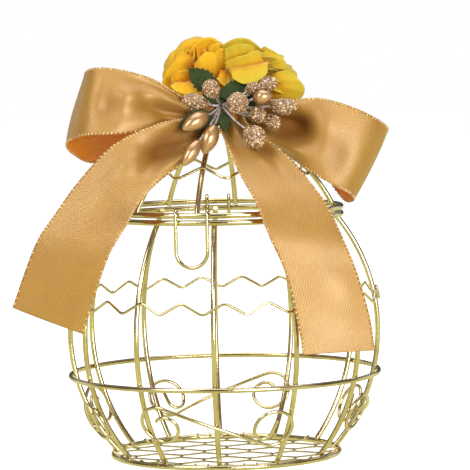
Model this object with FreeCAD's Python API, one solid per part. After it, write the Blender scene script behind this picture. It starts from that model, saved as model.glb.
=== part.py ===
import FreeCAD, Part
import os
from math import acos, asin, atan2, cos, degrees, pi, radians, sin, sqrt, tan

V = FreeCAD.Vector

# Driving dimensions, in millimetres and degrees.
# The origin is the middle of the base ring on the table, +Z up, and the latch side faces -Y.
# Azimuths are measured from the front, positive towards +X.

# Wire diameters
rib_wire = 1.5
ring_wire = 1.6
hoop_wire = 1.4
wave_wire = 0.8
scroll_wire = 1.0
link_wire = 1.0
latch_wire = 1.05
mesh_wire = 0.5
weld_gap = 0.03
running_gap = 0.3

# Cage body: every rib is one arc, and the hoops lie outside the ribs
belly_radius = 43.8
belly_height = 35.6
rib_bend = 51.0
rib_count = 12
rib_drift = 3.5
rib_foot = 0.65
foot_flat = 0.1
hoop_height = 23.5
wave_height = 45.6
wave_count = 23
wave_peak = 0.7
wave_rise = 3.4
wave_bend = 2.0
mouth_height = 68.4
mesh_cell = 12.8
mesh_twist = 4.4
mesh_slant = 3.8

# Foot scrolls
scroll_height = 12.6
scroll_reach = 16.0
scroll_skew = 0.8
curl_radius = 5.5
curl_end_radius = 2.6
curl_stroke = 4.2

# Lid
lid_seat = 0.4
lid_bend = 47.5
lid_rise = 25.4
lid_rib_count = 10
lid_rib_turn = -9.5
lid_rib_drift = 2.5
crown_radius = 5.0
lid_wave_drop = 14.2
lid_wave_count = 12
lid_wave_peak = -11.5

# Hinge links and latch
link_left_turn = -7.4587
link_right_turn = 3.3827
latch_side = -7.9127
latch_width = 8.9
latch_drop = 14.2
latch_wrap = 130.0

# Ribbon bow
ribbon_width = 20.0
ribbon_thickness = 0.4
knot_width = 9.0
knot_depth = 8.0
knot_height = 6.9
knot_side = 1.0
knot_forward = 12.0
knot_round = 2.4
bow_gap = 0.3
tail_clear = 1.5

# Flowers and berries
rose_radius = 10.6
rose_spread = 16.0
rose_stagger = 14.0
rose_side = 2.4
rose_back = 2.0
rose_lift = 14.6
rose_tilt = 20.0
petal_count = 11
petal_thickness = 0.4
bud_radius = 3.6
bud_stretch = 2.1
calyx_diameter = 2.4
leaf_slimness = 0.52
leaf_thickness = 0.35
binding_radius = 2.2
stem_wire = 0.5

# Worked out from the driving dimensions
rib_centre_radius = belly_radius - rib_bend
base_height = ring_wire / 2 - foot_flat
lid_height = mouth_height + ring_wire + lid_seat
crown_height = lid_height + lid_rise
X_AXIS = V(1, 0, 0)
Z_AXIS = V(0, 0, 1)


def at(azimuth, radius, height):
    angle = radians(azimuth)
    return V(radius * sin(angle), -radius * cos(angle), height)


def turned(shape, azimuth):
    copy = shape.copy()
    copy.rotate(V(0, 0, 0), Z_AXIS, azimuth)
    return copy


def save(name, *solids):
    shape = solids[0] if len(solids) == 1 else Part.makeCompound(list(solids))
    if not shape.isValid() or any(solid.Volume <= 0 for solid in shape.Solids):
        raise ValueError("unsound solid in " + name)
    shape.exportStep(os.path.join("parts", name + ".step"))


# Radius of a wire's centre line where it lies on the outside of the body ribs
def on_body(wire, height):
    reach = rib_bend + rib_wire / 2 + weld_gap + wire / 2
    return rib_centre_radius + sqrt(reach ** 2 - (height - belly_height) ** 2)


mouth_radius = on_body(ring_wire, mouth_height)


# The lid ribs bend about this point of the meridian plane, inside the lid ring and up to the crown
def lid_bend_centre():
    reach = lid_bend + rib_wire / 2 + weld_gap + ring_wire / 2
    chord = sqrt((mouth_radius - crown_radius) ** 2 + lid_rise ** 2)
    across = sqrt(reach ** 2 - chord ** 2 / 4)
    middle_radius = (mouth_radius + crown_radius) / 2
    middle_height = lid_height + lid_rise / 2
    return (middle_radius - across * lid_rise / chord,
            middle_height - across * (mouth_radius - crown_radius) / chord)


lid_centre_radius, lid_centre_height = lid_bend_centre()


# Radius of a wire's centre line where it lies on the outside of the lid ribs
def on_lid(wire, height):
    reach = lid_bend + rib_wire / 2 + weld_gap + wire / 2
    return lid_centre_radius + sqrt(reach ** 2 - (height - lid_centre_height) ** 2)


# Height of the outside of the lid ribs
def dome_top(radius):
    return lid_centre_height + sqrt((lid_bend + rib_wire / 2) ** 2 - (radius - lid_centre_radius) ** 2)


# A round wire along edges that run on smoothly from one to the next
def tube(edges, wire):
    first = edges[0]
    start = first.valueAt(first.FirstParameter)
    along = first.tangentAt(first.FirstParameter)
    section = Part.Wire(Part.makeCircle(wire / 2, start, along))
    return Part.Wire(edges).makePipeShell([section], True, False)


# A round wire along one arc of the meridian plane that faces the front
def meridian_wire(centre_radius, centre_height, bend, low, high, wire):
    centre = V(0, -centre_radius, centre_height)
    start = centre + V(0, -bend * cos(low), bend * sin(low))
    along = V(0, sin(low), cos(low))
    section = Part.Face(Part.Wire(Part.makeCircle(wire / 2, start, along)))
    return section.revolve(centre, V(-1, 0, 0), degrees(high - low))


def ring(radius, height, wire):
    return Part.makeTorus(radius, wire / 2, V(0, 0, height), Z_AXIS)


# A closed zigzag of straight runs and round corners
def rounded_loop(corners, bend):
    bends = []
    count = len(corners)
    for index, corner in enumerate(corners):
        back = (corners[index - 1] - corner).normalize()
        on = (corners[(index + 1) % count] - corner).normalize()
        half = acos(back.dot(on)) / 2
        cut = bend / tan(half)
        inward = (back + on).normalize()
        bends.append((corner + back * cut, corner + inward * (bend / sin(half) - bend), corner + on * cut))
    edges = []
    for index, bent in enumerate(bends):
        edges.append(Part.Arc(*bent).toShape())
        edges.append(Part.makeLine(bent[2], bends[(index + 1) % count][0]))
    return edges


def wave_ring(radius_at, height, count, peak):
    step = 180.0 / count
    bulge = 1 / cos(radians(step / 2))
    corners = []
    for index in range(2 * count):
        level = height + wave_rise / 2 * (-1 if index % 2 else 1)
        corners.append(at(peak + index * step, radius_at(wave_wire, level) * bulge, level))
    return tube(rounded_loop(corners, wave_bend), wave_wire)


# The arc that leaves one point along a direction and reaches another point
def leaving_arc(start, along, end):
    chord = end - start
    length = chord.Length
    chord.normalize()
    side = along - chord * along.dot(chord)
    swing = atan2(side.Length, along.dot(chord))
    if swing < 1e-6:
        return Part.makeLine(start, end)
    side.normalize()
    middle = (start + end) * 0.5 + side * (length / 2 * tan(swing / 2))
    return Part.Arc(start, middle, end).toShape()


# Two arcs that join two points with the given directions
def biarc(start, start_along, end, end_along):
    span = end - start
    both = span.dot(start_along + end_along)
    spread = 2 * (1 - start_along.dot(end_along))
    if spread < 1e-9:
        reach = span.dot(span) / (4 * span.dot(end_along))
    else:
        reach = (sqrt(both ** 2 + spread * span.dot(span)) - both) / spread
    joint = (start + end + (start_along - end_along) * reach) * 0.5
    last = leaving_arc(end, end_along * -1, joint)
    curve = last.Curve
    if isinstance(curve, Part.Line):
        last = Part.makeLine(joint, end)
    else:
        middle = last.valueAt((last.FirstParameter + last.LastParameter) / 2)
        last = Part.Arc(joint, middle, end).toShape()
    return [leaving_arc(start, start_along, joint), last]


# Body
def base_ring():
    body = ring(on_body(ring_wire, base_height), base_height, ring_wire)
    below = Part.makeBox(4 * belly_radius, 4 * belly_radius, ring_wire)
    below.translate(V(-2 * belly_radius, -2 * belly_radius, -ring_wire))
    return body.cut(below)


# One opening of the netting: two twisted pairs of wire at its sides and four slanted single wires
def mesh_opening(middle):
    rise = 2 * mesh_slant / mesh_cell
    half = mesh_cell / 2 - mesh_wire
    apex = mesh_twist / 2 + mesh_slant - mesh_wire / 2 * sqrt(1 + rise ** 2)
    shoulder = apex - half * rise
    corners = [(0, apex), (half, shoulder), (half, -shoulder), (0, -apex), (-half, -shoulder), (-half, shoulder)]
    outline = [middle + V(across, along, 0) for across, along in corners]
    return Part.Face(Part.makePolygon(outline + outline[:1]))


# The floor of hexagonal netting lies level with the base ring, as one sheet with its openings
def base_mesh():
    radius = on_body(ring_wire, base_height) - ring_wire / 2 - weld_gap
    low = base_height - mesh_wire / 2
    row_pitch = mesh_twist + mesh_slant
    rows = int(radius // row_pitch) + 1
    columns = int(radius // mesh_cell) + 1
    holes = []
    for row in range(-rows, rows + 1):
        stagger = mesh_cell / 2 * (row % 2)
        for column in range(-columns - 1, columns + 1):
            holes.append(mesh_opening(V(column * mesh_cell + stagger, row * row_pitch, low)))
    sheet = Part.Face(Part.Wire(Part.makeCircle(radius, V(0, 0, low))))
    rim = Part.Face(Part.Wire(Part.makeCircle(radius - mesh_wire, V(0, 0, low))))
    net = sheet.cut(rim.common(Part.makeCompound(holes)))
    return net.extrude(V(0, 0, mesh_wire))


def body_rib():
    mesh_top = base_height + mesh_wire / 2 + weld_gap
    foot = mesh_top + rib_foot
    low = asin((foot - belly_height) / rib_bend)
    high = asin((mouth_height - belly_height) / rib_bend)
    return meridian_wire(rib_centre_radius, belly_height, rib_bend, low, high, rib_wire)


# The ribs crowd a little towards the left, front and back alike
def drifted(azimuth, drift):
    return azimuth - drift * cos(radians(azimuth))


# One point of the flat scroll, wrapped on the outside of the ribs
def on_scroll(across, up):
    reach = rib_bend + rib_wire / 2 + weld_gap + scroll_wire / 2
    middle = asin((scroll_height - belly_height) / reach)
    angle = middle + up / reach
    middle_radius = rib_centre_radius + reach * cos(middle)
    return at(degrees(across / middle_radius), rib_centre_radius + reach * cos(angle),
              belly_height + reach * sin(angle))


# The flat scroll as a chain of stations: a curl, a slanted run and a second curl turned half round
def scroll_outline():
    left = (-scroll_reach, scroll_skew)
    lean = atan2(scroll_skew, scroll_reach) + asin(curl_radius / sqrt(scroll_reach ** 2 + scroll_skew ** 2))
    touch = pi / 2 - lean
    tuck = radians(330)
    turn = radians(500)
    small = (curl_radius + curl_end_radius) / 2 - 0.6 * scroll_wire
    inner = (left[0] + (curl_radius - small) * cos(tuck), left[1] + (curl_radius - small) * sin(tuck))
    steps = 6
    chain = []
    for step in range(steps):
        angle = turn + (tuck - turn) * step / steps
        chain.append((inner[0] + small * cos(angle), inner[1] + small * sin(angle), angle - pi / 2))
    for step in range(2 * steps):
        angle = tuck + (touch - tuck) * step / (2 * steps)
        chain.append((left[0] + curl_radius * cos(angle), left[1] + curl_radius * sin(angle), angle - pi / 2))
    begin = (left[0] + curl_radius * cos(touch), left[1] + curl_radius * sin(touch))
    for step in range(steps):
        share = step / steps
        chain.append((begin[0] * (1 - 2 * share), begin[1] * (1 - 2 * share), -lean))
    right = (-left[0], -left[1])
    start = touch - pi
    close = radians(190)
    for step in range(2 * steps):
        angle = start + (close - start) * step / (2 * steps)
        chain.append((right[0] + curl_radius * cos(angle), right[1] + curl_radius * sin(angle), angle + pi / 2))
    hook = (right[0] + (curl_radius - curl_end_radius) * cos(close),
            right[1] + (curl_radius - curl_end_radius) * sin(close))
    rise = radians(345)
    for step in range(steps + 1):
        angle = close + (rise - close) * step / steps
        chain.append((hook[0] + curl_end_radius * cos(angle), hook[1] + curl_end_radius * sin(angle),
                      angle + pi / 2))
    last = chain[-1]
    chain.append((last[0] + curl_stroke * cos(last[2]), last[1] + curl_stroke * sin(last[2]), last[2]))
    return chain


def scroll():
    nudge = 0.01
    points = []
    for across, up, heading in scroll_outline():
        here = on_scroll(across, up)
        ahead = on_scroll(across + nudge * cos(heading), up + nudge * sin(heading))
        points.append((here, (ahead - here).normalize()))
    edges = []
    for (start, start_along), (end, end_along) in zip(points, points[1:]):
        edges += biarc(start, start_along, end, end_along)
    return tube(edges, scroll_wire)


# Lid
def lid_angle(radius, height):
    return atan2(height - lid_centre_height, radius - lid_centre_radius)


def lid_rib():
    low = lid_angle(mouth_radius, lid_height)
    high = lid_angle(crown_radius, crown_height)
    return meridian_wire(lid_centre_radius, lid_centre_height, lid_bend, low, high, rib_wire)


# A small ring under the upper ends of the lid ribs
def crown_ring():
    angle = lid_angle(crown_radius, crown_height)
    reach = lid_bend - rib_wire / 2 - weld_gap - hoop_wire / 2
    inset = hoop_wire / reach
    radius = lid_centre_radius + reach * cos(angle - inset)
    return ring(radius, lid_centre_height + reach * sin(angle - inset), hoop_wire)


# Both links turn about one axis, behind the middle of the two places where they hold the mouth ring.
# Their places are turns round the ring from its back, so that they keep between the ribs
link_left = mouth_radius * sin(radians(link_left_turn))
link_right = mouth_radius * sin(radians(link_right_turn))
hinge_depth = (sqrt(mouth_radius ** 2 - link_left ** 2) + sqrt(mouth_radius ** 2 - link_right ** 2)) / 2


# A closed link that holds the lid ring and runs round the mouth ring
def hinge_link(across):
    bend = ring_wire / 2 + running_gap + link_wire / 2
    low = V(across, hinge_depth, mouth_height)
    high = V(across, hinge_depth, lid_height)
    out = V(0, bend, 0)
    up = V(0, 0, bend)
    edges = [
        Part.makeLine(low - out, high - out),
        Part.Arc(high - out, high + up, high + out).toShape(),
        Part.makeLine(high + out, low + out),
        Part.Arc(low + out, low - up, low - out).toShape(),
    ]
    return tube(edges, link_wire)


# A U of wire whose two ends hook over the lid ring
def latch_loop():
    half = latch_width / 2
    front = -sqrt(mouth_radius ** 2 - half ** 2)
    bend = ring_wire / 2 + running_gap + latch_wire / 2
    wrap = radians(latch_wrap)
    low = lid_height - latch_drop + half
    face = front - bend

    def hook(across):
        points = []
        for share in (1.0, 0.5, 0.0):
            angle = wrap * share
            points.append(V(across, front - bend * cos(angle), lid_height + bend * sin(angle)))
        return points

    left = hook(-half)
    right = hook(half)
    edges = [
        Part.Arc(*left).toShape(),
        Part.makeLine(left[2], V(-half, face, low)),
        Part.Arc(V(-half, face, low), V(0, face, low - half), V(half, face, low)).toShape(),
        Part.makeLine(V(half, face, low), right[2]),
        Part.Arc(right[2], right[1], right[0]).toShape(),
    ]
    return turned(tube(edges, latch_wire), degrees(asin(latch_side / mouth_radius)))


# Bow
knot_bottom = dome_top(knot_forward - knot_depth / 2) + bow_gap
knot_middle = V(knot_side, -knot_forward, knot_bottom + knot_height / 2)


def bow_knot():
    box = Part.makeBox(knot_width, knot_depth, knot_height)
    box.translate(knot_middle - V(knot_width / 2, knot_depth / 2, knot_height / 2))
    return box.makeFillet(knot_round, box.Edges)


# A strip of ribbon through stations: the middle of the strip, the direction across it, and its share of
# the full width, which is small where the knot gathers it
def ribbon(stations):
    middles = [station[0] for station in stations]
    sections = []
    for index, (middle, across, share) in enumerate(stations):
        before = middles[max(index - 1, 0)]
        after = middles[min(index + 1, len(middles) - 1)]
        across = V(across).normalize()
        face = (after - before).cross(across).normalize() * (ribbon_thickness / 2)
        edge = across * (ribbon_width * share / 2)
        corners = [middle + edge + face, middle - edge + face, middle - edge - face, middle + edge - face]
        sections.append(Part.makePolygon(corners + corners[:1]))
    return Part.makeLoft(sections, True, False)


# Loop stations are offsets from the knot's middle, and the ends butt on its side
def bow_loop(side, stations):
    butt = side * (knot_width / 2 + bow_gap)
    strip = []
    for (across, depth, up), direction, share in stations:
        strip.append((knot_middle + V(butt + across, depth, up), direction, share))
    return ribbon(strip)


left_loop_stations = [
    (V(0, -2, 0.2), V(0, 0, -1), 0.22),
    (V(-3.6, -4.2, 0.6), V(0.6, 0, -4.2), 0.27),
    (V(-10.2, -5.6, 2.2), V(-0.2, -1.2, -10), 0.5),
    (V(-15.8, -8.6, 3.6), V(0.9, -3, -14), 0.74),
    (V(-24.6, -12, 4.3), V(-0.7, -6, -16.6), 0.92),
    (V(-32.2, -10.4, 4.3), V(-2, -6.5, -16.9), 0.96),
    (V(-36.1, -3.5, 2.2), V(-4.9, -5, -19.2), 1.0),
    (V(-35.0, 3.5, -1.2), V(-4.9, -3, -20), 1.0),
    (V(-28.9, 7.6, -3.8), V(-5.2, -2, -19.8), 1.0),
    (V(-17.9, 6.8, -2.6), V(-2.5, -2, -14), 0.7),
    (V(-7, 3.6, -0.4), V(0, 0, -1), 0.32),
    (V(0, 1.6, 0), V(0, 0, -1), 0.22),
]

right_loop_stations = [
    (V(0, -2, -0.2), V(0, 0, -1), 0.22),
    (V(6.3, -3, -1.2), V(0.8, 0, -5), 0.34),
    (V(12.8, -5, -4.1), V(-0.9, -0.6, -15), 0.74),
    (V(20.2, -9.6, -6.0), V(-2.7, -2, -19.5), 1.02),
    (V(27.3, -13.6, -8.9), V(-4.8, -4.5, -22.4), 1.13),
    (V(33.4, -13.6, -12.4), V(-7.8, -5.5, -22.1), 1.16),
    (V(36.1, -8, -14.7), V(-10, -6, -20.3), 1.12),
    (V(33.4, 0.5, -14.4), V(-10, -4.5, -18.4), 1.02),
    (V(24.8, 6, -9.6), V(-5, -2, -16), 0.8),
    (V(14.7, 6, -4.4), V(-3, -2, -10.5), 0.52),
    (V(6.6, 3.6, -1), V(0, 0, -1), 0.3),
    (V(0, 1.6, 0), V(0, 0, -1), 0.22),
]


# Tail stations are sideways and downward offsets from the knot, and how far out the strip has come
# from the knot's face to the front of the belly
def bow_tail(stations):
    face = knot_forward + knot_depth / 2 + bow_gap + ribbon_thickness
    full = belly_radius + tail_clear
    strip = []
    for across, up, out, direction, share in stations:
        depth = face + out * (full - face)
        strip.append((V(knot_middle.x + across, -depth, knot_middle.z + up), direction, share))
    return ribbon(strip)


left_tail_stations = [
    (-3.4, -1.2, 0.0, V(0.6, 0, -3.3), 0.16),
    (-6.2, -3.6, 0.1, V(1.4, -0.4, -3.6), 0.26),
    (-12.5, -7.2, 0.25, V(4.6, -3, -8.5), 0.52),
    (-20.9, -11.4, 0.42, V(4.8, -6, -12.8), 0.8),
    (-27.3, -15.9, 0.52, V(7.4, -6.5, -13.5), 0.91),
    (-33.5, -23.4, 0.56, V(11.9, -6, -11.8), 0.95),
    (-38.7, -30.8, 0.59, V(13.8, -5, -8.9), 0.96),
    (-43.3, -39.3, 0.58, V(16.3, -4, -8.6), 1.03),
    (-49.2, -55.3, 0.52, V(19.3, -3, -7.5), 1.04),
]

right_tail_stations = [
    (2.4, -2.2, 0.0, V(3, 0, 0.4), 0.3),
    (3.6, -5.2, 0.1, V(7.8, 1.4, 0), 0.42),
    (8.4, -10.3, 0.26, V(13.3, 1.6, 1.2), 0.68),
    (13.2, -16.7, 0.46, V(17.1, 2, 0), 0.88),
    (18, -24, 0.66, V(18.9, 3.5, -0.9), 0.98),
    (22, -33.3, 0.79, V(19.7, 5, -1.4), 1.02),
    (25.8, -42.8, 0.86, V(19.1, 6, -1.2), 1.0),
    (28.9, -55.3, 0.88, V(19.4, 7, -0.9), 1.02),
    (30.1, -64.3, 0.85, V(19, 7, 0.5), 1.0),
]


# Roses: a round bud in nested petals, each a part of a hollow ball on its own radius
golden_angle = 137.5
rose_height = crown_height + rose_lift


def rose_middle(side):
    return V(rose_side + side * rose_spread / 2, rose_back - side * rose_stagger / 2, rose_height)


def stretched(shape, factor):
    stretch = FreeCAD.Matrix()
    stretch.A33 = factor
    return shape.transformGeometry(stretch)


# The inner petals stand tall and the outer ones lie open
def petal(index):
    share = (index + 1) / petal_count
    outer = bud_radius + share * (rose_radius - bud_radius)
    low = -10.0 - 30.0 * share
    high = 60.0 - 40.0 * share
    width = 150.0 - 50.0 * share
    ball = Part.makeSphere(outer, V(0, 0, 0), Z_AXIS, low, high, width)
    hollow = Part.makeSphere(outer - petal_thickness)
    shell = stretched(ball.cut(hollow), bud_stretch + share * (1 - bud_stretch))
    shell.rotate(V(0, 0, 0), Z_AXIS, golden_angle * index)
    return shell


def rod(start, end, diameter):
    return Part.makeCylinder(diameter / 2, (end - start).Length, start, end - start)


def rose(side):
    middle = rose_middle(side)
    pieces = [stretched(Part.makeSphere(bud_radius), bud_stretch)]
    pieces += [petal(index) for index in range(petal_count)]
    for piece in pieces:
        piece.rotate(V(0, 0, 0), X_AXIS, rose_tilt)
        piece.translate(middle)
    return pieces


# A short calyx stands between the crown and the bud, and is cut to the bud's foot
def calyx(side):
    middle = rose_middle(side)
    seat = V(middle.x, middle.y, 0).normalize() * crown_radius
    seat.z = dome_top(crown_radius) + bow_gap
    lean = (seat - middle).normalize()
    seat.z += calyx_diameter / 2 * sqrt(1 - lean.z ** 2)
    bud = stretched(Part.makeSphere(bud_radius + weld_gap), bud_stretch)
    bud.rotate(V(0, 0, 0), X_AXIS, rose_tilt)
    bud.translate(middle)
    return rod(middle, seat, calyx_diameter).cut(bud)


# Leaves are thin pointed ovals with the stalk end at the binding
def leaf(base, tip, face):
    along = tip - base
    side = face.cross(along).normalize() * (along.Length * leaf_slimness / 2)
    middle = (base + tip) * 0.5
    edges = [
        Part.Arc(base, middle + side, tip).toShape(),
        Part.Arc(tip, middle - side, base).toShape(),
    ]
    normal = along.cross(side).normalize()
    return Part.Face(Part.Wire(edges)).extrude(normal * leaf_thickness)


binding_middle = knot_middle + V(-0.4, -knot_depth / 2 - bow_gap - binding_radius, 2.4)

# Leaf base and tip from the knot's middle, and the way its face looks
leaf_places = [
    (V(-2, -2.0, knot_height / 2 + bow_gap), V(-9, 1.0, 12.8), V(-0.3, -1, 0.2)),
    (V(2.2, -2.7, knot_height / 2 + bow_gap), V(8.1, -4.1, 7.2), V(0, -0.5, 0.85)),
    (V(-3.4, -8.8, -0.4), V(-11.5, -11.6, -3.2), V(0, -1, 0.3)),
    (V(0.2, -7.7, -0.8), V(0.6, -11.6, -6.0), V(0, -1, 0.2)),
]


# Berries: place from the binding, length and diameter, long axis pointing away from the binding
sugar_places = [
    (V(-7.2, -0.5, 1.1), 7.8, 4.9),
    (V(-2.6, -3.8, 4.6), 6.4, 4.6),
    (V(4.3, -5.9, 0.7), 6.4, 6.0),
    (V(12.7, 0.9, 5.5), 6.4, 4.2),
    (V(8.6, -1.8, 4.6), 4.4, 3.4),
    (V(17.1, -3.0, -0.5), 7.4, 4.6),
    (V(9.8, -3.5, -2.6), 5.2, 4.4),
    (V(14.0, -1.5, -4.7), 5.2, 4.4),
    (V(8.8, -8.0, -8.4), 7.4, 6.2),
]
pearl_places = [
    (V(-7.4, -7.5, -4.4), 7.4, 5.0),
    (V(-3.5, -6.5, -10.0), 8.0, 5.0),
    (V(-8.9, -12.6, -13.0), 9.0, 4.4),
    (V(11.0, -4.5, 2.1), 4.8, 3.6),
]


def berry(place, length, diameter):
    body = stretched(Part.makeSphere(diameter / 2), length / diameter)
    turn = FreeCAD.Rotation(Z_AXIS, V(place))
    body.Placement = FreeCAD.Placement(binding_middle + place, turn)
    return body


def stem(place, length):
    along = V(place).normalize()
    start = binding_middle + along * (binding_radius + weld_gap)
    end = binding_middle + place - along * (length / 2 + weld_gap)
    return rod(start, end, stem_wire)


os.makedirs("parts", exist_ok=True)

save("base_ring", base_ring())
save("base_mesh", base_mesh())
rib = body_rib()
for index in range(rib_count):
    save("body_rib_%02d" % (index + 1), turned(rib, drifted(360.0 / rib_count * index, rib_drift)))
save("belly_hoop", ring(on_body(hoop_wire, hoop_height), hoop_height, hoop_wire))
save("body_wave_ring", wave_ring(on_body, wave_height, wave_count, wave_peak))
save("mouth_ring", ring(mouth_radius, mouth_height, ring_wire))
one_scroll = scroll()
for quarter, name in enumerate(("front", "right", "back", "left")):
    save("scroll_" + name, turned(one_scroll, drifted(90.0 * quarter, rib_drift)))

save("lid_ring", ring(mouth_radius, lid_height, ring_wire))
rib = lid_rib()
for index in range(lid_rib_count):
    even = lid_rib_turn + 360.0 / lid_rib_count * index
    save("lid_rib_%02d" % (index + 1), turned(rib, drifted(even, lid_rib_drift)))
save("lid_wave_ring", wave_ring(on_lid, crown_height - lid_wave_drop, lid_wave_count, lid_wave_peak))
save("crown_ring", crown_ring())
save("hinge_link_left", hinge_link(link_left))
save("hinge_link_right", hinge_link(link_right))
save("latch_loop", latch_loop())

save("bow_knot", bow_knot())
save("bow_loop_left", bow_loop(-1, left_loop_stations))
save("bow_loop_right", bow_loop(1, right_loop_stations))
save("bow_tail_left", bow_tail(left_tail_stations))
save("bow_tail_right", bow_tail(right_tail_stations))

save("rose_left", *rose(-1))
save("rose_right", *rose(1))
save("rose_calyx_left", calyx(-1))
save("rose_calyx_right", calyx(1))

save("leaves", *[leaf(knot_middle + base, knot_middle + tip, face) for base, tip, face in leaf_places])
save("stem_binding", Part.makeSphere(binding_radius, binding_middle))
save("sugar_berries", *[berry(*place) for place in sugar_places])
save("pearl_berries", *[berry(*place) for place in pearl_places])
save("berry_stems", *[stem(place, length) for place, length, diameter in sugar_places + pearl_places])
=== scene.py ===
import math
import random

import bpy
from mathutils import Matrix, Vector, noise


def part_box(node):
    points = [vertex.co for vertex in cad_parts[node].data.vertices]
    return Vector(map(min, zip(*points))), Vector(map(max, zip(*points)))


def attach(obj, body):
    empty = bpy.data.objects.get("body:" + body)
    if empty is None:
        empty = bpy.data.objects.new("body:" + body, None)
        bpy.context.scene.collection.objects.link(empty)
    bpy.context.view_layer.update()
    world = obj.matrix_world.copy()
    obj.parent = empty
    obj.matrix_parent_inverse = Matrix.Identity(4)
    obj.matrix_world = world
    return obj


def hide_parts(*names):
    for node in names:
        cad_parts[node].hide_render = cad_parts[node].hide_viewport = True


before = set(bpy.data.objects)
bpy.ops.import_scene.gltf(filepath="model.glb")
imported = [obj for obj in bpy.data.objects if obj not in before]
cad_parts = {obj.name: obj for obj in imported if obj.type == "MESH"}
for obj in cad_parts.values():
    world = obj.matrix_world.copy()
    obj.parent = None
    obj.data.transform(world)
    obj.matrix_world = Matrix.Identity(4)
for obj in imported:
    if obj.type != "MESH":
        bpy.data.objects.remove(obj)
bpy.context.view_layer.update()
print("frame loaded:", len(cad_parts), "nodes")

mm = 0.001


def deselect():
    bpy.ops.object.select_all(action="DESELECT")


def middleOf(nodeName):
    low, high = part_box(nodeName)
    return (low + high) / 2 / mm  # millimetres


def nodesNamed(*starts):
    return [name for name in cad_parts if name.startswith(starts)]


# camera and studio

photoCamera = {"place": (3.66, -866.09, 124.46), "lens": 234.0, "sensor": 36, "farthest": 20,
               "pitch": 4.085, "roll": 1.15}


def addCamera(spec):
    deselect()
    bpy.ops.object.camera_add(location=Vector(spec["place"]) * mm)
    camera = bpy.context.object
    tilt = Matrix.Rotation(math.radians(90 - spec["pitch"]), 4, "X")
    roll = Matrix.Rotation(math.radians(-spec["roll"]), 4, "Z")
    camera.rotation_euler = (tilt @ roll).to_euler()
    camera.data.lens = spec["lens"]
    camera.data.sensor_width = spec["sensor"]
    camera.data.clip_end = spec["farthest"]
    bpy.context.scene.camera = camera


lightAim = Vector((0, 0, 0.06))
softboxes = [
    {"name": "keyLight", "place": (-0.70, -0.80, 0.80), "size": 0.6, "power": 6.2},
    {"name": "fillLight", "place": (0.44, -1.04, 0.27), "size": 0.6, "power": 11.0},
    {"name": "topLight", "place": (0.05, 0.10, 1.15), "size": 1.0, "power": 6.5},
]


def addLights(specs):
    for spec in specs:
        deselect()
        bpy.ops.object.light_add(type="AREA", location=spec["place"])
        lamp = bpy.context.object
        lamp.name = spec["name"]
        lamp.data.energy = spec["power"]
        lamp.data.size = spec["size"]
        lamp.rotation_euler = (lightAim - lamp.location).to_track_quat("-Z", "Y").to_euler()


def addNode(tree, kind, **values):
    made = tree.nodes.new("ShaderNode" + kind)
    for socket, value in values.items():
        made.inputs[socket.replace("_", " ")].default_value = value
    return made


def fillRamp(node, stops):
    elements = node.color_ramp.elements
    while len(elements) < len(stops):
        elements.new(0.5)
    for element, (place, colour) in zip(elements, stops):
        element.position = place
        element.color = (*colour, 1)


white = (1, 1, 1, 1)
studioRoom = {
    "ambient": 0.32, "mirrored": 0.95, "walls": (1.0, 0.99, 1.02), "dusk": (0.22, 0.19, 0.17, 1),
    "turn": 90, "duskFrom": 0.15, "duskTo": 0.45, "duskMost": 0.8, "roofFrom": 0.84, "roofTo": 0.94,
    "bands": [
        (0.0, 0.08), (0.07, 0.2), (0.12, 0.95), (0.17, 1.0), (0.2, 0.07), (0.31, 0.14), (0.36, 0.9),
        (0.43, 0.6), (0.47, 0.06), (0.54, 0.06), (0.6, 0.5), (0.67, 1.0), (0.71, 0.1), (0.8, 0.07),
        (0.84, 0.9), (0.9, 1.0), (0.94, 0.09),
    ],
}


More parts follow.
